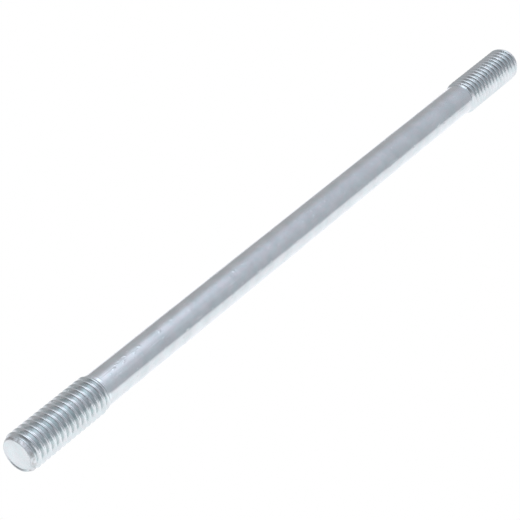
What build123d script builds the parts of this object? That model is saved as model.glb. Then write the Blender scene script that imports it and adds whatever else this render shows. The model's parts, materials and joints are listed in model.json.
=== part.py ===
"""Cylinder stud: one steel rod with a right-hand metric thread rolled on each end.

The origin is on the centre line, where the last full turn of the crankcase thread meets the
crankcase. +X runs along the stud to the nut end. The stud lies on its side, with +Z up.
All sizes are in millimetres.
"""

from build123d import *
from math import radians, tan
import os

# The rod
overall_length = 127.0
shank_diameter = 5.3  # the blank that the threads are rolled on

# The threads: the same diameter and pitch on both ends
thread_diameter = 6.0  # over the crests
thread_pitch = 1.0
case_thread_length = 15.0  # crankcase end face to the last full turn
nut_thread_length = 15.0  # nut end face to the last full turn
case_run_out_turns = 1.2  # turns over which the thread fades into the shank
nut_run_out_turns = 1.0
run_out_fillet = 4.0  # the rolled corner where a run-out meets the shank

# Each end narrows from the crests to a lip, and the rolling leaves a shallow dish inside the lip
lead_depth = 0.5  # crest down to lip
lead_angle = 30.0  # degrees from the centre line
dish_depth = 0.14
dish_slope = 0.34  # width of the slope from the lip to the dish's level middle

thread_radius = thread_diameter / 2
shank_radius = shank_diameter / 2
lip_radius = thread_radius - lead_depth
dish_radius = lip_radius - dish_slope
lead_length = lead_depth / tan(radians(lead_angle))

# Where each stretch begins and ends along X
case_face = -case_thread_length
case_lead_end = case_face + lead_length
case_thread_end = 0
case_shank_end = case_thread_end + case_run_out_turns * thread_pitch
nut_face = case_face + overall_length
nut_lead_end = nut_face - lead_length
nut_thread_end = nut_face - nut_thread_length
nut_shank_end = nut_thread_end - nut_run_out_turns * thread_pitch

with BuildPart() as cylinder_stud:
    # Half of the lengthwise section, from the centre line out. A thread is as thick as its
    # crests, because the helix between them is finer than the part's other features.
    with BuildSketch(Plane.XZ) as half_section:
        with BuildLine():
            Polyline(
                (case_face + dish_depth, 0),
                (case_face + dish_depth, dish_radius),
                (case_face, lip_radius),
                (case_lead_end, thread_radius),
                (case_thread_end, thread_radius),
                (case_shank_end, shank_radius),
                (nut_shank_end, shank_radius),
                (nut_thread_end, thread_radius),
                (nut_lead_end, thread_radius),
                (nut_face, lip_radius),
                (nut_face - dish_depth, dish_radius),
                (nut_face - dish_depth, 0),
                close=True,
            )
        make_face()
        corners = half_section.vertices()
        shank_corners = corners.filter_by_position(Axis.X, case_shank_end, nut_shank_end)
        fillet(shank_corners, radius=run_out_fillet)
    revolve(axis=Axis.X)

cylinder_stud.part.label = "cylinder_stud"
cylinder_stud.part.color = Color(0.74, 0.77, 0.80)

os.makedirs("parts", exist_ok=True)
export_step(cylinder_stud.part, "parts/cylinder_stud.step")
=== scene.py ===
"""The cylinder stud's finished look: rolled threads, bright zinc plate, a pale floor and soft light.

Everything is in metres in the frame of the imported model. The stud lies along X with its centre
line on Y = Z = 0, and its crankcase end is at the low X end.
"""

import json
import math

import bpy
import numpy as np
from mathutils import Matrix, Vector


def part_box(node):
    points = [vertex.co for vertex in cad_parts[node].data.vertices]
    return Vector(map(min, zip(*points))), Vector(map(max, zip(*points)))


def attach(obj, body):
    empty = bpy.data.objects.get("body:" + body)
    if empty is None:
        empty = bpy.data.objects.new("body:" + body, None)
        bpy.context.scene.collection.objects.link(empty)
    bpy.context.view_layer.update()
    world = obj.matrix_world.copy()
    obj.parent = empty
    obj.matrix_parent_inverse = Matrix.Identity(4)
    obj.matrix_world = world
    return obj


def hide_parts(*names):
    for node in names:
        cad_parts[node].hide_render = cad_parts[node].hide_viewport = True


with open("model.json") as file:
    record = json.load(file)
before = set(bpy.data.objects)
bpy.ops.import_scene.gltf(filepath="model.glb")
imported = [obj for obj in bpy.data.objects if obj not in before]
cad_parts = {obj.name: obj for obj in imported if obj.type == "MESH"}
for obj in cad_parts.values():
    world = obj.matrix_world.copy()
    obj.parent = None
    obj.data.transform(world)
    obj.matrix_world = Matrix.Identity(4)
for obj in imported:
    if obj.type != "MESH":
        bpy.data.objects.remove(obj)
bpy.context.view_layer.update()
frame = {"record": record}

# ---- Sizes ------------------------------------------------------------------------------------

MM = 0.001
NODE = "cylinder_stud"
MOUNTS = {mount["name"]: mount for mount in frame["record"]["mounts"]}

CASE_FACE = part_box(NODE)[0].x
NUT_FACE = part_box(NODE)[1].x
MIDDLE = (CASE_FACE + NUT_FACE) / 2
HALF_LENGTH = (NUT_FACE - CASE_FACE) / 2
THREAD_RADIUS = MOUNTS["case_end_thread"]["dims"]["r_mm"] * MM
CASE_THREAD_END = MOUNTS["case_end_thread"]["pos_m"][0]
NUT_THREAD_END = MOUNTS["nut_end_thread"]["pos_m"][0]

THREAD_PITCH = 1.0 * MM
SHANK_RADIUS = 2.65 * MM

# The stretches, from x to x, over which the crests and grooves rise out of the shank, each one
# given from its inner end
CASE_RUN_OUT = (CASE_THREAD_END + 1.2 * MM, CASE_THREAD_END - 0.2 * MM)
NUT_RUN_OUT = (NUT_THREAD_END - 0.75 * MM, NUT_THREAD_END + 0.1 * MM)

# The basic thread form. Its sizes are shares of the height of the sharp 60-degree V.
V_HEIGHT = math.sqrt(3) / 2 * THREAD_PITCH
CREST_FLAT = THREAD_PITCH / 8
ROOT_RADIUS = V_HEIGHT / 6
ROOT_HALF_WIDTH = ROOT_RADIUS * math.cos(math.radians(30))
THREAD_DEPTH = V_HEIGHT * 17 / 24
FLANK_SLOPE = math.sqrt(3)
# The crests are rounded off, more on the crankcase end
CASE_CREST_SOFTNESS = 0.06 * MM
NUT_CREST_SOFTNESS = 0.03 * MM

# How far round the crest's middle meets each end face, in turns
CASE_START_TURN = 0.95
NUT_START_TURN = 0.78

# The ends: a 30-degree lead, a rounded lip that the rolling has pushed out, and a dish inside it
LEAD_DEPTH = 0.5 * MM
LEAD_ANGLE = math.radians(30)
LEAD_SOFTNESS = 0.03 * MM
LIP_ROUND = 0.10 * MM
LIP_TURN = math.pi / 2 - LEAD_ANGLE
LIP_RADIUS = THREAD_RADIUS - LEAD_DEPTH - LIP_ROUND * math.tan(LIP_TURN / 2)
DISH_DEPTH = 0.14 * MM
DISH_SLOPE = 0.34 * MM
# The groove is shallow at the face and reaches its full depth a little way in
GROOVE_AT_FACE = 0.45
GROOVE_FULL = 1.2 * MM

# The mesh: points round the stud and along one pitch, the shank's rings, and the end faces' rings
# as shares of the lip's radius
AROUND = 64
PER_PITCH = 32
SHANK_RINGS = 94
FACE_RINGS = (0.985, 0.97, 0.955, 0.94, 0.925, 0.91, 0.895, 0.88, 0.86, 0.84, 0.6, 0.3)


# ---- The stud's surface -----------------------------------------------------------------------


def smooth_step(x, start, end):
    """Rises from 0 at start to 1 at end: 3 t squared less 2 t cubed, for the share t of the way."""
    t = np.clip((x - start) / (end - start), 0, 1)
    return t * t * (3 - 2 * t)


def smooth_minimum(first, second, softness):
    """The lower of two radii, with the corner where they cross rounded.

    It is minus the logarithm of the sum of both radii's exp(-radius), in units of the softness.
    """
    return -softness * np.logaddexp(-first / softness, -second / softness)


def thread_profile(phase, crest_softness):
    """The thread's radius at a phase from a crest's middle, in turns from -0.5 to 0.5.

    The crest is flat, the flanks fall at 60 degrees, and the root is the arc that touches both
    flanks. A smooth minimum of the crest's and the groove's radii softens the corner between them.
    """
    from_crest = np.abs(phase) * THREAD_PITCH
    flank = THREAD_RADIUS - (from_crest - CREST_FLAT / 2) * FLANK_SLOPE
    from_root = THREAD_PITCH / 2 - from_crest
    arc_middle = THREAD_RADIUS - THREAD_DEPTH + ROOT_RADIUS
    arc = arc_middle - np.sqrt(np.clip(ROOT_RADIUS**2 - from_root**2, 0, None))
    groove = np.where(from_root < ROOT_HALF_WIDTH, arc, flank)
    return smooth_minimum(THREAD_RADIUS, groove, crest_softness)


def lead_profile(from_face):
    """The radius that the end's lead leaves at a distance from the face.

    An arc leaves the lip level with the face and turns through to the lead, a straight cone.
    """
    rise = np.clip(from_face, 0, LIP_ROUND * (1 - math.cos(LIP_TURN)))
    arc = LIP_RADIUS + np.sqrt(LIP_ROUND**2 - (LIP_ROUND - rise) ** 2)
    cone = math.tan(LEAD_ANGLE) * (from_face - rise)
    return arc + cone


def dish_depth(radius):
    """How deep the end face lies behind its lip: level in the middle, a smooth step to the lip."""
    return DISH_DEPTH * smooth_step(radius, LIP_RADIUS, LIP_RADIUS - DISH_SLOPE)


def stud_radius(x, turn):
    """The stud's radius at x along it and at a turn round it, from 0 to 1.

    A right-hand crest moves one pitch along X for each turn, so the phase is the distance from
    the crankcase face in pitches, less the turn. The groove deepens away from each face and the
    thread fades into the shank, both along smooth steps. The lower of that and the lead is kept.
    """
    on_case_end = x < MIDDLE
    start = np.where(on_case_end, CASE_START_TURN, NUT_START_TURN)
    phase = (x - CASE_FACE) / THREAD_PITCH - turn - start
    phase = phase - np.round(phase)
    from_face = np.minimum(x - CASE_FACE, NUT_FACE - x)
    depth_share = GROOVE_AT_FACE + (1 - GROOVE_AT_FACE) * smooth_step(from_face, 0, GROOVE_FULL)
    crest_softness = np.where(on_case_end, CASE_CREST_SOFTNESS, NUT_CREST_SOFTNESS)
    thread = THREAD_RADIUS + (thread_profile(phase, crest_softness) - THREAD_RADIUS) * depth_share
    threaded = smooth_step(x, *CASE_RUN_OUT) + smooth_step(x, *NUT_RUN_OUT)
    rolled = SHANK_RADIUS + (thread - SHANK_RADIUS) * threaded
    return smooth_minimum(rolled, lead_profile(from_face), LEAD_SOFTNESS)


def helical_rows(first, last):
    """Grid steps along X of rows that climb one pitch in a turn, cut level at first and last."""
    row_step = AROUND // PER_PITCH
    starts = np.arange(first - AROUND, last + row_step, row_step)
    return np.clip(starts[:, None] + np.arange(AROUND + 1), first, last)


def level_rows(first, last, count):
    """Grid steps along X of level rings, evenly spread from first to last."""
    steps = np.round(np.linspace(first, last, count + 1)).astype(int)
    return np.repeat(steps[:, None], AROUND + 1, axis=1)


def row_faces(at):
    """The faces between rows of point numbers: quads, and triangles where two corners are one."""
    corners = np.stack((at[:-1, :-1], at[:-1, 1:], at[1:, 1:], at[1:, :-1]), axis=-1)
    corners = corners.reshape(-1, 4)
    repeats = corners == np.roll(corners, -1, axis=1)
    count = repeats.sum(axis=1)
    triangles = corners[count == 1][~repeats[count == 1]].reshape(-1, 3)
    return corners[count == 0].tolist() + triangles.tolist()


def end_cap(rim, x, outward, first_index):
    """A dished end inside a rim of points: smaller rings, then one middle point, joined by faces.

    A ring's points stand at its radius round the centre line, the dish's depth behind the face.
    """
    turn = np.arange(AROUND) / AROUND * 2 * math.pi
    radius = np.array(FACE_RINGS)[:, None] * LIP_RADIUS + 0 * turn
    rings = np.stack(
        (x - outward * dish_depth(radius), radius * np.cos(turn), radius * np.sin(turn)), axis=-1
    ).reshape(-1, 3)
    points = np.vstack((rings, (x - outward * DISH_DEPTH, 0, 0)))
    inner = first_index + np.arange(len(rings)).reshape(-1, AROUND)
    loops = np.vstack((rim, inner))
    after = np.roll(loops, -1, axis=1)
    quads = np.stack((loops[:-1], loops[1:], after[1:], after[:-1]), axis=-1).reshape(-1, 4)
    middle = np.full(AROUND, first_index + len(rings))
    fan = np.stack((loops[-1], middle, after[-1]), axis=-1)
    if outward > 0:
        quads, fan = quads[:, ::-1], fan[:, ::-1]
    return points, quads.tolist() + fan.tolist()


def stud_mesh():
    """The whole stud as one closed mesh, a surface of two parameters: steps along X and round it.

    The threaded stretches have helical rows, so their crests and roots run along the mesh's own
    lines, and the shank has level rings. Points at the same step and turn are one point.
    """
    step = THREAD_PITCH / AROUND
    last = round((NUT_FACE - CASE_FACE) / step)
    shank_first = round((CASE_RUN_OUT[0] - CASE_FACE) / step)
    shank_last = round((NUT_RUN_OUT[0] - CASE_FACE) / step)
    grids = (
        helical_rows(0, shank_first),
        level_rows(shank_first, shank_last, SHANK_RINGS),
        helical_rows(shank_last, last),
    )
    column = np.arange(AROUND + 1) % AROUND
    keys = [grid * AROUND + column for grid in grids]
    found = np.unique(np.concatenate([key.ravel() for key in keys]))
    x = CASE_FACE + found // AROUND * step
    turn = found % AROUND / AROUND
    radius = stud_radius(x, turn)
    angle = turn * 2 * math.pi
    points = np.stack((x, radius * np.cos(angle), radius * np.sin(angle)), axis=-1)
    faces = []
    for key in keys:
        faces += row_faces(np.searchsorted(found, key))

    case_rim = np.searchsorted(found, np.arange(AROUND))
    nut_rim = np.searchsorted(found, last * AROUND + np.arange(AROUND))
    for rim, face_x, outward in ((case_rim, CASE_FACE, -1), (nut_rim, NUT_FACE, 1)):
        cap_points, cap_faces = end_cap(rim, face_x, outward, len(points))
        points = np.vstack((points, cap_points))
        faces += cap_faces

    mesh = bpy.data.meshes.new("rolled_stud")
    mesh.from_pydata(points.tolist(), [], faces)
    mesh.shade_smooth()
    mesh.validate()
    return mesh


# ---- Making nodes -----------------------------------------------------------------------------


class Wiring:
    """Adds nodes to a material or a world. An input is a number, a colour or another node's socket."""

    # Where the Mix node keeps the sockets that it uses for colours
    MIX_SHARE, MIX_FIRST, MIX_SECOND, MIX_RESULT = 0, 6, 7, 2

    def __init__(self, owner):
        owner.use_nodes = True
        self.nodes = owner.node_tree.nodes
        self.links = owner.node_tree.links

    def feed(self, socket, value):
        """Sets an input, or links it to another node's output."""
        if isinstance(value, bpy.types.NodeSocket):
            self.links.new(value, socket)
        elif isinstance(value, tuple):
            socket.default_value = (*value, 1)
        else:
            socket.default_value = value

    def calc(self, operation, *inputs):
        """One step of arithmetic on its inputs."""
        node = self.nodes.new("ShaderNodeMath")
        node.operation = operation
        for socket, value in zip(node.inputs, inputs):
            self.feed(socket, value)
        return node.outputs["Value"]

    def soft_range(self, value, start, end, low=0.0, high=1.0):
        """Goes from low at start to high at end along a smooth step."""
        node = self.nodes.new("ShaderNodeMapRange")
        node.interpolation_type = "SMOOTHSTEP"
        self.feed(node.inputs["Value"], value)
        self.feed(node.inputs["From Min"], start)
        self.feed(node.inputs["From Max"], end)
        self.feed(node.inputs["To Min"], low)
        self.feed(node.inputs["To Max"], high)
        return node.outputs["Result"]

    def noise(self, place, scale, detail, stretch=(1.0, 1.0, 1.0)):
        """Cloudy noise at a place, finer along the axes that are stretched more."""
        mapping = self.nodes.new("ShaderNodeMapping")
        mapping.inputs["Scale"].default_value = stretch
        self.feed(mapping.inputs["Vector"], place)
        node = self.nodes.new("ShaderNodeTexNoise")
        self.feed(node.inputs["Scale"], scale)
        self.feed(node.inputs["Detail"], detail)
        self.feed(node.inputs["Vector"], mapping.outputs["Vector"])
        return node.outputs["Fac"]

    def ramp(self, share, stops):
        """The colour at a share along stops, each a position and a colour."""
        node = self.nodes.new("ShaderNodeValToRGB")
        elements = node.color_ramp.elements
        while len(elements) < len(stops):
            elements.new(0.5)
        for element, (position, color) in zip(elements, stops):
            element.position = position
            element.color = (*color, 1)
        self.feed(node.inputs["Fac"], share)
        return node.outputs["Color"]

    def mix(self, kind, share, first, second):
        """A share of the second colour on the first. The result may be brighter than white."""
        node = self.nodes.new("ShaderNodeMix")
        node.data_type = "RGBA"
        node.blend_type = kind
        node.clamp_result = False
        self.feed(node.inputs[self.MIX_SHARE], share)
        self.feed(node.inputs[self.MIX_FIRST], first)
        self.feed(node.inputs[self.MIX_SECOND], second)
        return node.outputs[self.MIX_RESULT]

    def split(self, place):
        """The X, Y and Z of a place or a direction."""
        node = self.nodes.new("ShaderNodeSeparateXYZ")
        self.feed(node.inputs["Vector"], place)
        return node.outputs["X"], node.outputs["Y"], node.outputs["Z"]


# ---- Zinc plate -------------------------------------------------------------------------------

# Patterns in the plate, each as noise: its scale per metre, its detail and its stretch along X, Y, Z
CLOUDS = (420.0, 4.0)
FILM = (700.0, 2.0, (1.0, 1.7, 1.7))
WEAR = (1900.0, 3.0)
SMOOTHNESS = (900.0, 4.0)
GRAIN = (1.0, 3.0, (350.0, 5200.0, 5200.0))
STREAKS = (1.0, 2.0, (150.0, 2600.0, 2600.0))
DINGS = (1400.0, 2.0, (0.6, 1.0, 1.0))
PITS = (3400.0, 5.0)

# The plate's tints, as stops of a pattern: its clouded base, the thin film on it, and its wear
CLOUD_TINTS = ((0.35, (0.575, 0.63, 0.625)), (0.65, (0.64, 0.69, 0.685)))
FILM_TINTS = ((0.38, (1.0, 0.975, 0.985)), (0.62, (0.955, 0.995, 1.0)))
WEAR_TINTS = ((0.42, (1.0, 1.0, 1.0)), (0.66, (0.62, 0.59, 0.57)))

# Roughness: of the plate's smoothest and dullest patches, added to it at a thread's crests and
# roots, and added to it on the leads
PLATE_RANGE = (0.3, 0.7)
PLATE_ROUGHNESS = (0.11, 0.16)
THREAD_ROUGHNESS = (0.05, 0.11)
LEAD_ROUGHNESS = 0.2
# A thread's roughness turns from the crest's to the root's between this far below the thread's
# radius and this far below the shank's
GROOVE_BELOW = 0.1 * MM

# How far in from the end faces a thread's roughness begins and is full, and a lead's
THREAD_FROM_FACE = (17 * MM, 15 * MM)
LEAD_FROM_FACE = (1.2 * MM, 0.5 * MM)
# How far from the lip's radius the face's plate gives way to the lead's
LEAD_FROM_LIP = (-0.1 * MM, 0.05 * MM)

# Relief: its whole depth, and the shares of it that each pattern has
RELIEF_DEPTH = 0.03 * MM
GRAIN_SHARE = 0.2
STREAK_RANGE = (0.6, 0.72)
STREAK_SHARE = 0.35
DING_RANGE = (0.62, 0.74)
DING_SHARE = 0.5
PIT_SHARE = 0.06


def zinc_material():
    """Bright blue-white zinc plate: clouded tint, drawn grain along X, duller threads and leads."""
    material = bpy.data.materials.new("bright_zinc")
    plate = Wiring(material)
    shader = plate.nodes["Principled BSDF"]
    shader.inputs["Metallic"].default_value = 1.0
    place = plate.nodes.new("ShaderNodeTexCoord").outputs["Object"]

    x, y, z = plate.split(place)
    from_axis = plate.calc(
        "SQRT", plate.calc("ADD", plate.calc("MULTIPLY", y, y), plate.calc("MULTIPLY", z, z))
    )
    from_middle = plate.calc("ABSOLUTE", plate.calc("SUBTRACT", x, MIDDLE))
    near_face = plate.soft_range(from_middle, *(HALF_LENGTH - depth for depth in LEAD_FROM_FACE))
    off_face = plate.soft_range(from_axis, *(LIP_RADIUS + width for width in LEAD_FROM_LIP))
    lead = plate.calc("MULTIPLY", near_face, off_face)

    clouds = plate.ramp(plate.noise(place, *CLOUDS), CLOUD_TINTS)
    film = plate.ramp(plate.noise(place, *FILM), FILM_TINTS)
    wear = plate.ramp(plate.calc("MULTIPLY", lead, plate.noise(place, *WEAR)), WEAR_TINTS)
    tint = plate.mix("MULTIPLY", 1.0, plate.mix("MULTIPLY", 1.0, clouds, film), wear)
    plate.feed(shader.inputs["Base Color"], tint)

    open_plate = plate.soft_range(plate.noise(place, *SMOOTHNESS), *PLATE_RANGE, *PLATE_ROUGHNESS)
    crest, root = THREAD_RADIUS - GROOVE_BELOW, SHANK_RADIUS - GROOVE_BELOW
    in_groove = plate.soft_range(from_axis, crest, root, *THREAD_ROUGHNESS)
    on_thread = plate.soft_range(from_middle, *(HALF_LENGTH - depth for depth in THREAD_FROM_FACE))
    roughness = plate.calc("ADD", open_plate, plate.calc("MULTIPLY", in_groove, on_thread))
    roughness = plate.calc("ADD", roughness, plate.calc("MULTIPLY", lead, LEAD_ROUGHNESS))
    plate.feed(shader.inputs["Roughness"], roughness)

    pits = plate.calc("MULTIPLY", plate.calc("ADD", lead, PIT_SHARE), plate.noise(place, *PITS))
    grain = plate.calc("MULTIPLY", plate.noise(place, *GRAIN), GRAIN_SHARE)
    streaks = plate.soft_range(plate.noise(place, *STREAKS), *STREAK_RANGE, 0.0, STREAK_SHARE)
    dings = plate.soft_range(plate.noise(place, *DINGS), *DING_RANGE, 0.0, DING_SHARE)
    relief = plate.calc("ADD", plate.calc("ADD", pits, plate.calc("ADD", grain, streaks)), dings)
    bump = plate.nodes.new("ShaderNodeBump")
    bump.inputs["Strength"].default_value = 1.0
    bump.inputs["Distance"].default_value = RELIEF_DEPTH
    plate.feed(bump.inputs["Height"], relief)
    plate.feed(shader.inputs["Normal"], bump.outputs["Normal"])
    return material


# ---- The stage --------------------------------------------------------------------------------

FLOOR_SIZE = 6.0

# The room's brightness and colour at heights from straight down to straight up, as the sine of
# the height. Below the horizon the plate mirrors the white floor, which is brightest underneath.
ROOM = (
    (-1.0, (1.29, 1.26, 1.32)),
    (-0.5, (1.26, 1.23, 1.29)),
    (-0.2, (1.19, 1.16, 1.23)),
    (-0.07, (1.00, 0.97, 1.03)),
    (0.02, (0.605, 0.60, 0.66)),
    (0.4, (0.63, 0.63, 0.695)),
    (0.75, (0.72, 0.71, 0.80)),
    (1.0, (0.80, 0.79, 0.93)),
)
BRIGHTEST = max(max(color) for _, color in ROOM)

# How far the floor's edge dips below the horizon behind the stud and beyond its nut end
DIP = 0.13
DIP_ALONG_SHARE = 0.75
DIP_ALONG = (0.42, 0.56)
DIP_ACROSS = (0.30, 0.70)
# A long soft lamp overhead, above the stud's crankcase end
LAMP_MIDDLE = 0.07
LAMP_HALF_WIDTH = 0.27
LAMP_EDGE = 0.50
LAMP_END = 0.56
LAMP_END_EDGE = 0.22
LAMP_UP = (0.3, 0.6)
LAMP_COLOR = (1.0, 1.02, 1.10)
LAMP_STRENGTH = 0.95
# A weaker glow in front of the lamp
GLOW_WAY = Vector((0.5, -0.4, 0.77)).normalized()
GLOW_RANGE = (0.91, 0.985)
GLOW_COLOR = (0.22, 0.235, 0.25)
# A dark part of the room beyond the crankcase end: its edge along X, its top and its foot
DARK_ALONG = (-0.72, -0.84)
DARK_TOP = (0.56, 0.46)
DARK_FOOT = (-0.08, 0.36)
DARK_SHARE = 0.28
# The sky is a little darker and warmer behind the stud
BACK_ACROSS = (0.1, 0.6)
BACK_UP = (-0.25, 0.0)
BACK_TINT = (0.90, 0.87, 0.83)
# The floor is brighter in front of the stud, except toward its nut end
FRONT_ACROSS = (-0.5, -0.85)
FRONT_ALONG = (0.62, 0.40)
FRONT_DOWN = (0.0, -0.2)
FRONT_TINT = (1.22, 1.22, 1.22)


def place_object(name, data):
    """A new object in the scene."""
    piece = bpy.data.objects.new(name, data)
    bpy.context.scene.collection.objects.link(piece)
    return piece


def floor():
    """A plain white floor that the stud lies on, lit evenly from within so that it has no shadow."""
    half = FLOOR_SIZE / 2
    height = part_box(NODE)[0].z
    corners = [(x, y, height) for x, y in ((-half, -half), (half, -half), (half, half), (-half, half))]
    mesh = bpy.data.meshes.new("floor")
    mesh.from_pydata(corners, [], [(0, 1, 2, 3)])
    material = bpy.data.materials.new("white_floor")
    paint = Wiring(material)
    paint.nodes.remove(paint.nodes["Principled BSDF"])
    glow = paint.nodes.new("ShaderNodeEmission")
    glow.inputs["Color"].default_value = (1, 1, 1, 1)
    glow.inputs["Strength"].default_value = 1.0
    paint.feed(paint.nodes["Material Output"].inputs["Surface"], glow.outputs["Emission"])
    mesh.materials.append(material)
    piece = place_object("floor", mesh)
    piece.visible_glossy = False


def dimmed(color):
    """A colour as a share of the room's brightest."""
    return tuple(part / BRIGHTEST for part in color)


def soft_edge(room, value, middle, width):
    """Falls from 1 to 0 across an edge of a width about its middle."""
    return room.soft_range(value, middle + width / 2, middle - width / 2)


def studio_light():
    """A soft room for the plate to mirror, by direction: along X, across it and up.

    It has a floor and a sky, a lamp overhead with a glow in front of it, a tint behind the stud
    and one in front, and a dark end. The camera itself sees plain white.
    """
    world = bpy.data.worlds.new("studio")
    room = Wiring(world)
    background = room.nodes["Background"]
    way = room.nodes.new("ShaderNodeTexCoord").outputs["Generated"]
    along, across, up = room.split(way)

    dip_along = room.calc("MULTIPLY", room.soft_range(along, *DIP_ALONG), DIP_ALONG_SHARE)
    dips = room.calc("MAXIMUM", dip_along, room.soft_range(across, *DIP_ACROSS))
    height = room.calc("MULTIPLY_ADD", dips, DIP, up)
    stops = [(0.5 + 0.5 * sine, dimmed(color)) for sine, color in ROOM]
    light = room.ramp(room.calc("MULTIPLY_ADD", height, 0.5, 0.5), stops)

    back = room.calc("MULTIPLY", room.soft_range(across, *BACK_ACROSS), room.soft_range(up, *BACK_UP))
    light = room.mix("MULTIPLY", back, light, BACK_TINT)
    in_front = room.soft_range(across, *FRONT_ACROSS)
    front = room.calc("MULTIPLY", in_front, room.soft_range(along, *FRONT_ALONG))
    front = room.calc("MULTIPLY", front, room.soft_range(up, *FRONT_DOWN))
    light = room.mix("MULTIPLY", front, light, FRONT_TINT)

    off_lamp = room.calc("ABSOLUTE", room.calc("SUBTRACT", across, LAMP_MIDDLE))
    side = soft_edge(room, off_lamp, LAMP_HALF_WIDTH, LAMP_EDGE)
    tip = soft_edge(room, along, LAMP_END, LAMP_END_EDGE)
    lamp = room.calc("MULTIPLY", room.calc("MULTIPLY", side, tip), room.soft_range(up, *LAMP_UP))
    light = room.mix("ADD", room.calc("MULTIPLY", lamp, LAMP_STRENGTH), light, dimmed(LAMP_COLOR))

    toward_glow = room.nodes.new("ShaderNodeVectorMath")
    toward_glow.operation = "DOT_PRODUCT"
    room.feed(toward_glow.inputs[0], way)
    toward_glow.inputs[1].default_value = GLOW_WAY
    glow = room.calc("MULTIPLY", room.soft_range(toward_glow.outputs["Value"], *GLOW_RANGE), tip)
    light = room.mix("ADD", glow, light, dimmed(GLOW_COLOR))

    dark = room.calc("MULTIPLY", room.soft_range(along, *DARK_ALONG), room.soft_range(up, *DARK_TOP))
    dark = room.calc("MULTIPLY", dark, room.soft_range(up, *DARK_FOOT))
    light = room.mix("MULTIPLY", dark, light, (DARK_SHARE,) * 3)

    seen = room.nodes.new("ShaderNodeLightPath").outputs["Is Camera Ray"]
    room.feed(background.inputs["Color"], room.mix("MIX", seen, light, dimmed((1, 1, 1))))
    background.inputs["Strength"].default_value = BRIGHTEST
    bpy.context.scene.world = world


# Where the camera stands: its angles round the stud and up, its distance, and the place it looks at
VIEW_AZIMUTH = math.radians(-53.65)
VIEW_ELEVATION = math.radians(36.4)
VIEW_DISTANCE = 267.85 * MM
VIEW_AIM = Vector((38.74 * MM, 0, 0))
LENS = 123.0
SENSOR = 36.0
CLIP = (10 * MM, 50.0)


def camera():
    """A long lens that looks down along the stud from beyond its crankcase end."""
    data = bpy.data.cameras.new("camera")
    data.lens = LENS
    data.sensor_width = SENSOR
    data.clip_start, data.clip_end = CLIP
    piece = place_object("camera", data)
    back = Vector(
        (
            math.sin(VIEW_AZIMUTH) * math.cos(VIEW_ELEVATION),
            -math.cos(VIEW_AZIMUTH) * math.cos(VIEW_ELEVATION),
            math.sin(VIEW_ELEVATION),
        )
    )
    piece.location = VIEW_AIM + back * VIEW_DISTANCE
    piece.rotation_mode = "QUATERNION"
    piece.rotation_quaternion = back.to_track_quat("Z", "Y")
    bpy.context.scene.camera = piece


def build():
    """Puts the threaded stud in place of its plain CAD node, and sets the stage round it."""
    stud = place_object("threaded_stud", stud_mesh())
    stud.data.materials.append(zinc_material())
    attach(stud, "root")
    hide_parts(NODE)
    floor()
    studio_light()
    camera()
    bpy.context.scene.view_settings.view_transform = "Standard"


build()
